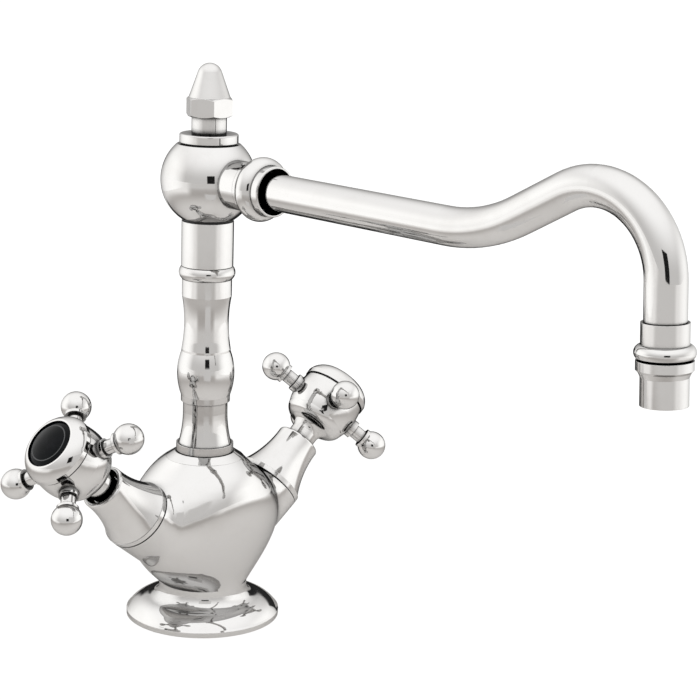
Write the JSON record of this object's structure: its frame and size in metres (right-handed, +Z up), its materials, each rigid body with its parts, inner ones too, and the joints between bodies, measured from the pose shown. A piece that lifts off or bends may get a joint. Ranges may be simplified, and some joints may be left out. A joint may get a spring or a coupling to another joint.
{
  "type": "bathroom mixer faucet",
  "caption": "Deck mixer faucet with a turned column, a swan-neck spout that swivels on a ball hub, and cross handles on two slanted horns that open quarter-turn valves.",
  "frame": {"origin": "centre of the foot's underside, on the deck", "axes": "+Z up along the column, -Y forward along the spout, +X towards the cold handle, metres"},
  "size_m": [0.1752, 0.2668, 0.2264],
  "materials": {
    "chrome": "mirror-polished plating",
    "brass": "machined, unplated",
    "rubber": "moulded, dull",
    "nylon": "natural nylon",
    "fibre": "pressed red fibre",
    "disc_ceramic": "lapped",
    "steel": "brushed stainless",
    "black_enamel": "glossy black glaze, bare",
    "flow_plastic": "moulded"
  },
  "bodies": {
    "faucet_body": {"body_casting": "chrome", "base_gasket": "rubber", "body_collar": "chrome", "column_shaft": "chrome", "sleeve_tube": "chrome", "swivel_spigot": "brass", "lower_o_ring": "rubber", "upper_o_ring": "rubber", "lower_thrust_washer": "nylon", "upper_thrust_washer": "nylon", "retaining_flange": "chrome", "finial_nut": "chrome", "hot_bonnet": "chrome", "hot_headwork": "brass", "hot_seat_seal": "rubber", "hot_headwork_washer": "fibre", "hot_fixed_disc": "disc_ceramic", "cold_bonnet": "chrome", "cold_headwork": "brass", "cold_seat_seal": "rubber", "cold_headwork_washer": "fibre", "cold_fixed_disc": "disc_ceramic"},
    "hot_valve": {"hot_handle": "chrome", "hot_bezel": "chrome", "hot_index_button": "black_enamel", "hot_handle_screw": "steel", "hot_spindle": "brass", "hot_spindle_o_ring": "rubber", "hot_spindle_clip": "steel", "hot_moving_disc": "disc_ceramic"},
    "cold_valve": {"cold_handle": "chrome", "cold_bezel": "chrome", "cold_index_button": "black_enamel", "cold_handle_screw": "steel", "cold_spindle": "brass", "cold_spindle_o_ring": "rubber", "cold_spindle_clip": "steel", "cold_moving_disc": "disc_ceramic"},
    "spout": {"ball_hub": "chrome", "union_nut": "chrome", "union_seal": "rubber", "spout_tube": "chrome", "nozzle_socket": "chrome", "aerator_shell": "chrome", "aerator_core": "flow_plastic", "aerator_washer": "rubber"}
  },
  "joints": [
    {"name": "hot_turn", "type": "hinge", "parent": "faucet_body", "child": "hot_valve", "pos_m": [0, 0, 0.0179], "axis": [-0.7513, 0, 0.66], "range_deg": [0, 90]},
    {"name": "cold_turn", "type": "hinge", "parent": "faucet_body", "child": "cold_valve", "pos_m": [0, 0, 0.0179], "axis": [0.7513, 0, 0.66], "range_deg": [0, 90]},
    {"name": "spout_swivel", "type": "hinge", "parent": "faucet_body", "child": "spout", "pos_m": [0, 0, 0.1807], "axis": [0, 0, 1], "continuous": true}
  ]
}
